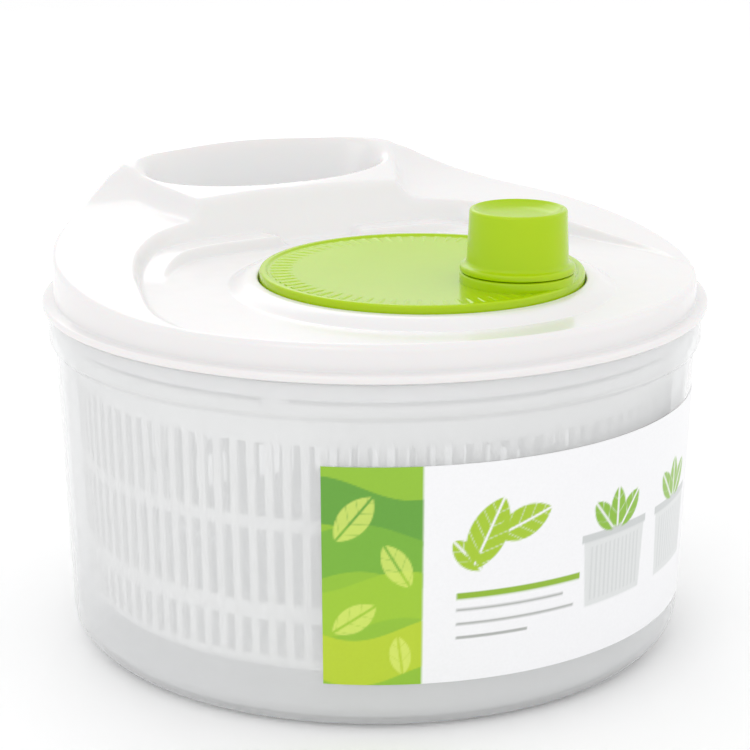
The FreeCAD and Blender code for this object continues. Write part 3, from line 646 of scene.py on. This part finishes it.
class SpinnerSizes(bpy.types.PropertyGroup):
    wall_columns: bpy.props.IntProperty(
        name="Slot columns", description="Columns of slots round the basket", default=108, min=24)
    slot_width: bpy.props.FloatProperty(
        name="Slot width", description="Width of a slot in the basket's wall", default=3.0 * MM,
        unit="LENGTH")
    floor_pitch: bpy.props.FloatProperty(
        name="Floor ring pitch", description="Distance between the rings of the basket's floor",
        default=7.0 * MM, unit="LENGTH")
    floor_spokes: bpy.props.IntProperty(
        name="Floor spokes", description="Radial bars in the basket's floor", default=24, min=6)
    flutes: bpy.props.IntProperty(
        name="Flutes", description="Radial flutes round the crank disc", default=72, min=12)
    label_width: bpy.props.FloatProperty(
        name="Label sweep", description="How far round the bowl the label goes",
        default=math.radians(90), subtype="ANGLE")


class SpinnerColours(bpy.types.PropertyGroup):
    bowl: bpy.props.FloatVectorProperty(
        name="Bowl", description="Tint of the frosted bowl", subtype="COLOR", size=3,
        default=linear("#FAFBFC"))
    lid: bpy.props.FloatVectorProperty(
        name="Lid", description="Milky white of the lid", subtype="COLOR", size=3,
        default=linear("#E9E7E7"))
    basket: bpy.props.FloatVectorProperty(
        name="Basket", description="White of the basket", subtype="COLOR", size=3,
        default=linear("#FAF9F7"))
    lime: bpy.props.FloatVectorProperty(
        name="Lime", description="Colour of the crank disc and knob", subtype="COLOR", size=3,
        default=linear("#AECF00"))
    lime_deep: bpy.props.FloatVectorProperty(
        name="Deep lime", description="Darker variation of the lime", subtype="COLOR", size=3,
        default=linear("#A7C900"))


def sizes():
    return bpy.context.scene.spinner_sizes


def colours():
    return bpy.context.scene.spinner_colours


# ------------------------------------------------------------------ operators

class SPINNER_OT_finishes(bpy.types.Operator):
    """Make the materials, and put them on the CAD parts that stay."""
    bl_idname = "spinner.finishes"
    bl_label = "Finishes"

    def execute(self, context):
        tints = colours()
        frosted_polypropylene(tuple(tints.bowl))
        milky_polypropylene(tuple(tints.lid))
        basket_polypropylene(tuple(tints.basket))
        lime_abs(tuple(tints.lime), tuple(tints.lime_deep))
        acetal(linear("#EFEDE6"))
        zinc_plated_steel()
        printed_film()
        kept = {
            "basket_polypropylene": ["gear_housing", "drive_plate"],
            "acetal": ["pinion_bush", "pinion", "ring_gear"],
            "zinc_plated_steel": ["housing_screws", "thrust_washer", "drive_washer",
                                  "drive_screw", "disc_screws", "crank_washer", "crank_screw",
                                  "knob_washer", "knob_screw"],
        }
        for material, nodes in kept.items():
            for node in nodes:
                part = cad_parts[node]
                part.data.materials.clear()
                part.data.materials.append(finish_named(material))
        return {"FINISHED"}


BOWL_LOW = (96.3, 5.5)      # radius and height where the bowl's wall starts
BOWL_HIGH = (99.4, 93.3)    # the same where it ends below the collar


def bowl_wall(height):
    """Outside radius of the bowl's wall at a height."""
    share = (height - BOWL_LOW[1]) / (BOWL_HIGH[1] - BOWL_LOW[1])
    return BOWL_LOW[0] + share * (BOWL_HIGH[0] - BOWL_LOW[0])


class SPINNER_OT_bowl(bpy.types.Operator):
    """Tapered frosted bowl with a collar below the lid and a pivot pin in its floor."""
    bl_idname = "spinner.bowl"
    bl_label = "Bowl"

    def execute(self, context):
        profile = rounded([
            (0, 0, 0), (90.9, 0, 5.4), (96.35, 6.0, 9), (99.4, 93.3, 1.5), (101.3, 95.2, 1.2),
            (101.3, BOWL_RIM, 0.9), (99.3, BOWL_RIM, 0.7), (99.3, 95.4, 1.5),
            (97.4, 93.6, 1.5), (94.3, 6.6, 5), (90.7, 2.2, 4), (11.0, 2.2, 3),
            (5.9, 9.2, 2), (5.9, 22.6, 2.2), (0, 22.6, 0)], 5)
        points, faces = lathe(profile, 256)
        bowl = mesh_piece("bowl_shell", points, faces, finish_named("frosted_polypropylene"))
        settle(bowl, "bowl_body", "frosted_pp", "bowl")
        return {"FINISHED"}


class SPINNER_OT_label(bpy.types.Operator):
    """Printed film round the bowl: green panel, leaves, plain bars and potted leaves."""
    bl_idname = "spinner.label"
    bl_label = "Label"

    LOW, HIGH, THICK = 15.3, 80.6, 0.2
    GLUE_GAP = 0.06
    MIDDLE_RADIUS = 98.0
    START = math.radians(-126.7)
    ACROSS, UP = 360, 144

    def execute(self, context):
        sweep = sizes().label_width
        share_u = np.linspace(0, 1, self.ACROSS + 1)
        share_v = np.linspace(0, 1, self.UP + 1)
        grid_u, grid_v = np.meshgrid(share_u, share_v)
        angle = self.START + sweep * grid_u
        height = self.LOW + (self.HIGH - self.LOW) * grid_v
        wall = bowl_wall(height)
        outer = wall + self.GLUE_GAP + self.THICK
        front = np.stack([outer * np.cos(angle), outer * np.sin(angle), height], -1)
        rows = self.ACROSS + 1
        points = front.reshape(-1, 3)
        faces = [(j * rows + i, j * rows + i + 1, (j + 1) * rows + i + 1, (j + 1) * rows + i)
                 for j in range(self.UP) for i in range(self.ACROSS)]
        rim = ([i for i in range(rows)] + [j * rows + rows - 1 for j in range(1, self.UP + 1)]
               + [self.UP * rows + i for i in range(rows - 2, -1, -1)]
               + [j * rows for j in range(self.UP - 1, 0, -1)])
        back = points[rim].copy()
        shrink = (np.hypot(back[:, 0], back[:, 1]) - self.THICK) / np.hypot(back[:, 0], back[:, 1])
        back[:, :2] *= shrink[:, None]
        base = len(points)
        count = len(rim)
        points = np.concatenate([points, back])
        for k in range(count):
            j = (k + 1) % count
            faces.append((rim[k], base + k, base + j, rim[j]))
        bottom = [base + i for i in range(rows)]
        top = [base + rows - 1 + self.UP + i for i in range(rows)][::-1]
        left = [base + 2 * self.ACROSS + 2 * self.UP - j for j in range(1, self.UP)]
        right = [base + self.ACROSS + j for j in range(self.UP - 1, 0, -1)]
        for i in range(rows - 1):
            faces.append((bottom[i], *(left if i == 0 else ()), top[i], top[i + 1],
                          *(right if i == rows - 2 else ()), bottom[i + 1]))
        label = mesh_piece("printed_label", points, faces, finish_named("varnished_label_film"), 60)
        width = sweep * self.MIDDLE_RADIUS
        ink = np.ones((len(points), 4))
        ink[:base, :3] = label_print(grid_u.ravel() * width, grid_v.ravel() * (self.HIGH - self.LOW))
        ink[base:, :3] = linear("#F4F4F4")
        attribute = label.data.attributes.new("ink", "FLOAT_COLOR", "POINT")
        attribute.data.foreach_set("color", ink.ravel())
        settle(label, "bowl_body", "printed_film", "label")
        return {"FINISHED"}


class SPINNER_OT_basket(bpy.types.Operator):
    """Slotted basket: solid bands with bars between them, and a floor of rings and spokes."""
    bl_idname = "spinner.basket"
    bl_label = "Basket"

    ROWS = ((19.5, 30.6), (36.0, 58.0), (62.0, 84.0))
    THICK = 1.8
    NOTCH_BASE, NOTCH_WIDTH = 94.2, 8.6

    def wall(self, height):
        return 91.2 + (height - 18.0) * 2.2 / 68.0

    def band(self, low, high):
        return rounded([(self.wall(low), low, 0.5), (self.wall(high), high, 0.5),
                        (self.wall(high) - self.THICK, high, 0.5),
                        (self.wall(low) - self.THICK, low, 0.5)], 2)

    def execute(self, context):
        white = finish_named("basket_polypropylene")
        settings = sizes()
        shapes = [lathe(self.band(30.6, 36.0), 216), lathe(self.band(58.0, 62.0), 216)]
        inner = self.wall(86) - self.THICK
        shapes.append(lathe(rounded([(self.wall(84), 84.0, 0.5), (93.4, self.NOTCH_BASE, 0),
                                     (inner, self.NOTCH_BASE, 0),
                                     (self.wall(84) - self.THICK, 84.0, 0.5)], 3), 216))
        lip = rounded([(93.4, self.NOTCH_BASE, 0), (93.4, 94.8, 0.2), (95.6, 94.8, 0.6),
                       (95.6, BASKET_RIM, 0.7), (inner, BASKET_RIM, 0.6),
                       (inner, self.NOTCH_BASE, 0)], 3)
        notch = math.degrees(self.NOTCH_WIDTH / 93.6)
        shapes += [arc_bar(lip, 90.0 * quarter, 90.0 - notch) for quarter in range(4)]
        foot = rounded([(86.6, BASKET_BASE, 0.4), (88.8, BASKET_BASE, 1.5), (91.2, 18.0, 1.5),
                        (self.wall(19.5), 19.5, 0.4), (self.wall(19.5) - self.THICK, 19.5, 0.4),
                        (88.0, 17.4, 1.0), (86.6, 17.4, 0.3)], 3)
        shapes.append(lathe(foot, 216))
        hub = rounded([(6.0, BASKET_BASE, 0.3), (13.0, BASKET_BASE, 0.5), (13.0, 17.4, 0.5),
                       (8.4, 17.4, 1.0), (8.4, 25.3, 1.2), (0, 25.3, 0)], 3)
        shapes.append(lathe([(0, 22.9), (6.0, 22.9)] + hub, 64))
        pitch = settings.floor_pitch / MM
        radius = 13.0 + pitch
        while radius < 85.0:
            ring = rounded([(radius - 1.7, BASKET_BASE, 0.3), (radius + 1.7, BASKET_BASE, 0.3),
                            (radius + 1.7, 17.3, 0.4), (radius - 1.7, 17.3, 0.4)], 1)
            shapes.append(lathe(ring, 128))
            radius += pitch
        bands = mesh_piece("basket_bands", *joined(shapes), white)
        settle(bands, "basket_body", "white_pp", "basket")

        gap = settings.slot_width / MM
        columns = settings.wall_columns
        width = 2 * math.pi * 92.0 / columns - gap
        column = []
        for low, high in self.ROWS:
            column.append(bar(self.wall(low) - self.THICK + 0.1, self.wall(low) - 0.1, low - 0.4,
                              high + 0.4, width, self.wall(high) - self.wall(low)))
        bars = ring_of_copies("basket_bars", joined(column), columns, white)
        settle(bars, "basket_body", "white_pp")
        spoke = bar(12.0, 87.2, BASKET_BASE + 0.2, 17.1, 2.2)
        spokes = ring_of_copies("basket_spokes", spoke, settings.floor_spokes, white)
        settle(spokes, "basket_body", "white_pp")
        return {"FINISHED"}


class SPINNER_OT_lid(bpy.types.Operator):
    """Milky lid with its raised handle, grip recess, scoop and the well for the crank disc."""
    bl_idname = "spinner.lid"
    bl_label = "Lid"

    def execute(self, context):
        milky = finish_named("milky_polypropylene")
        lid = mesh_piece("lid_shell", *lid_shape(), milky, 50)
        settle(lid, "lid_body", "milky_pp", "lid")
        boss = lathe(rounded([(1.3, 107.1, 0.2), (3.2, 107.1, 0.3), (3.2, 113.4, 0),
                              (1.3, 113.4, 0)], 2), 24, (54.5, 0.0))
        bosses = ring_of_copies("lid_bosses", boss, 4, milky, math.radians(45),
                                (DISC_CENTRE[0], DISC_CENTRE[1], 0.0))
        settle(bosses, "lid_body", "milky_pp")
        return {"FINISHED"}


class SPINNER_OT_crank(bpy.types.Operator):
    """Lime crank disc with a rolled rim, radial flutes, and the pad and post of the knob."""
    bl_idname = "spinner.crank"
    bl_label = "Crank disc"

    def execute(self, context):
        lime = finish_named("glossy_lime_abs")
        profile = rounded([
            (0, 118.0, 0), (46.5, 118.0, 1.0), (46.6, 111.0, 0.4), (DISC_RADIUS, 111.0, 0.4),
            (DISC_RADIUS, 120.2, 0.7), (46.9, 120.2, 0.6), (46.3, 119.6, 0.5),
            (0, 119.6, 0)], 4)
        shapes = [lathe(profile, 256, DISC_CENTRE)]
        pad = rounded([(0, 118.6, 0), (17.0, 118.6, 0), (17.0, 122.6, 0.7), (9.8, 122.6, 0.6),
                       (9.0, 123.4, 0.4), (9.0, 134.0, 0.8), (3.1, 134.0, 0.3), (3.1, 128.0, 0),
                       (0, 128.0, 0)], 4)
        shapes.append(lathe(pad, 128, KNOB_CENTRE))
        for index in range(3):
            angle = math.radians(90 + 120 * index)
            place = (DISC_CENTRE[0] + 12 * math.cos(angle), DISC_CENTRE[1] + 12 * math.sin(angle))
            shapes.append(lathe(rounded([(1.1, 115.6, 0.1), (3.0, 115.6, 0.3), (3.0, 118.3, 0),
                                         (1.1, 118.3, 0)], 2), 24, place))
        disc = mesh_piece("crank_disc_cover", *joined(shapes), lime)
        settle(disc, "crank_body", "lime_abs", "crank_disc")
        flute = self.flute(38.0, 45.4, 119.5, 0.32)
        flutes = ring_of_copies("crank_disc_flutes", flute, sizes().flutes, lime, 0.0,
                                (DISC_CENTRE[0], DISC_CENTRE[1], 0.0))
        settle(flutes, "crank_body", "lime_abs")
        return {"FINISHED"}

    def flute(self, inner, outer, base, rise):
        """A low rounded rib that widens outwards."""
        points, faces = [], []
        stations = 7
        for step in range(stations):
            share = step / (stations - 1)
            radius = inner + (outer - inner) * share
            half = 0.5 + 0.75 * share
            peak = base + rise * math.sin(min(1.0, share * 2.2 + 0.05) * math.pi / 2)
            for side, lift in ((-1, 0.0), (-0.6, 0.75), (0, 1.0), (0.6, 0.75), (1, 0.0)):
                points.append((radius, side * half, base + (peak - base) * lift))
            points.append((radius, 0.0, base - 0.2))
        for step in range(stations - 1):
            a, b = step * 6, (step + 1) * 6
            for k in range(6):
                j = (k + 1) % 6
                faces.append((a + k, a + j, b + j, b + k))
        faces.append(tuple(range(5, -1, -1)))
        last = (stations - 1) * 6
        faces.append(tuple(range(last, last + 6)))
        return np.array(points), faces


class SPINNER_OT_knob(bpy.types.Operator):
    """Hollow lime knob with a dished top, a foot ring and an inner sleeve."""
    bl_idname = "spinner.knob"
    bl_label = "Knob"

    def execute(self, context):
        dish = [(0, KNOB_TOP - 2.5), (4, KNOB_TOP - 2.45), (8, KNOB_TOP - 2.2),
                (11.2, KNOB_TOP - 1.6)]
        shell = rounded([
            (12.4, KNOB_TOP - 0.7, 0.6), (13.2, KNOB_TOP, 0.5), (14.3, KNOB_TOP - 0.3, 1.0),
            (15.0, KNOB_BASE + 2.3, 1.2), (17.0, KNOB_BASE + 1.8, 0.7), (17.0, KNOB_BASE, 0.4),
            (12.6, KNOB_BASE, 0.4), (12.3, 136.9, 0.5), (11.0, 136.9, 0.5),
            (11.0, KNOB_BASE + 0.3, 0.3), (9.08, KNOB_BASE + 0.3, 0.3), (9.08, 136.9, 0.3),
            (2.9, 136.9, 0.5), (2.9, 127.95, 0.2), (1.1, 127.95, 0.1), (1.1, 136.0, 0)], 4)
        closed = dish + shell + [(0, 136.0)]
        points, faces = lathe(closed, 128, KNOB_CENTRE)
        knob = mesh_piece("knob_shell", points, faces, finish_named("glossy_lime_abs"))
        settle(knob, "knob_body", "lime_abs", "knob")
        return {"FINISHED"}


class SPINNER_OT_stage(bpy.types.Operator):
    """Pale floor, soft studio light and the camera."""
    bl_idname = "spinner.stage"
    bl_label = "Stage"

    FOCAL_MM = 110.4
    DISTANCE_M = 0.7258
    AZIMUTH, ELEVATION = math.radians(-28.0), math.radians(15.68)
    TARGET_M = (0.0, 0.0, 0.0791)

    def execute(self, context):
        scene = bpy.context.scene
        mesh = bpy.data.meshes.new("floor")
        half, drop = 4.0, -0.0004
        mesh.from_pydata([(-half, -half, drop), (half, -half, drop), (half, half, drop),
                          (-half, half, drop)], [], [(0, 1, 2, 3)])
        mesh.materials.append(studio_paper())
        floor = bpy.data.objects.new("floor", mesh)
        scene.collection.objects.link(floor)

        camera = bpy.data.objects.new("camera", bpy.data.cameras.new("camera"))
        camera.data.lens = self.FOCAL_MM
        camera.data.sensor_width = 36.0
        target = Vector(self.TARGET_M)
        away = Vector((math.sin(self.AZIMUTH) * math.cos(self.ELEVATION),
                       -math.cos(self.AZIMUTH) * math.cos(self.ELEVATION),
                       math.sin(self.ELEVATION)))
        camera.location = target + away * self.DISTANCE_M
        camera.rotation_euler = (-away).to_track_quat("-Z", "Y").to_euler()
        scene.collection.objects.link(camera)
        scene.camera = camera

        world = bpy.data.worlds.new("studio")
        world.use_nodes = True
        world.node_tree.nodes["Background"].inputs["Color"].default_value = (1, 1, 1, 1)
        world.node_tree.nodes["Background"].inputs["Strength"].default_value = 1.03
        scene.world = world
        lights = (("key", (-0.9, -0.7, 1.1), 0.7, 1.7), ("fill", (1.1, -0.5, 0.6), 0.9, 0.6),
                  ("back", (0.2, 1.1, 0.9), 0.8, 1.8))
        for name, place, size, power in lights:
            light = bpy.data.lights.new(name, "AREA")
            light.size = size
            light.energy = power
            lamp = bpy.data.objects.new(name, light)
            lamp.location = place
            lamp.rotation_euler = (Vector((0, 0, 0.08)) - Vector(place)).to_track_quat("-Z", "Y").to_euler()
            scene.collection.objects.link(lamp)
        scene.view_settings.view_transform = "Standard"
        return {"FINISHED"}


class SPINNER_PT_panel(bpy.types.Panel):
    """Lists the pieces of the spinner and their settings"""
    bl_idname = "SPINNER_PT_panel"
    bl_label = "Crank salad spinner"
    bl_space_type = "VIEW_3D"
    bl_region_type = "UI"
    bl_category = "Spinner"

    def draw(self, context):
        for operator in OPERATORS:
            self.layout.operator(operator.bl_idname)
        for group in (context.scene.spinner_sizes, context.scene.spinner_colours):
            for name in group.bl_rna.properties.keys():
                if name not in ("rna_type", "name"):
                    self.layout.prop(group, name)


OPERATORS = (SPINNER_OT_finishes, SPINNER_OT_bowl, SPINNER_OT_label, SPINNER_OT_basket,
             SPINNER_OT_lid, SPINNER_OT_crank, SPINNER_OT_knob, SPINNER_OT_stage)
CLASSES = (SpinnerSizes, SpinnerColours) + OPERATORS + (SPINNER_PT_panel,)


def register():
    for cls in CLASSES:
        bpy.utils.register_class(cls)
    bpy.types.Scene.spinner_sizes = bpy.props.PointerProperty(type=SpinnerSizes)
    bpy.types.Scene.spinner_colours = bpy.props.PointerProperty(type=SpinnerColours)


def unregister():
    del bpy.types.Scene.spinner_colours
    del bpy.types.Scene.spinner_sizes
    for cls in reversed(CLASSES):
        bpy.utils.unregister_class(cls)


def main():
    register()
    bpy.ops.spinner.finishes()
    bpy.ops.spinner.bowl()
    bpy.ops.spinner.label()
    bpy.ops.spinner.basket()
    bpy.ops.spinner.lid()
    bpy.ops.spinner.crank()
    bpy.ops.spinner.knob()
    bpy.ops.spinner.stage()


if __name__ == "__main__":
    main()
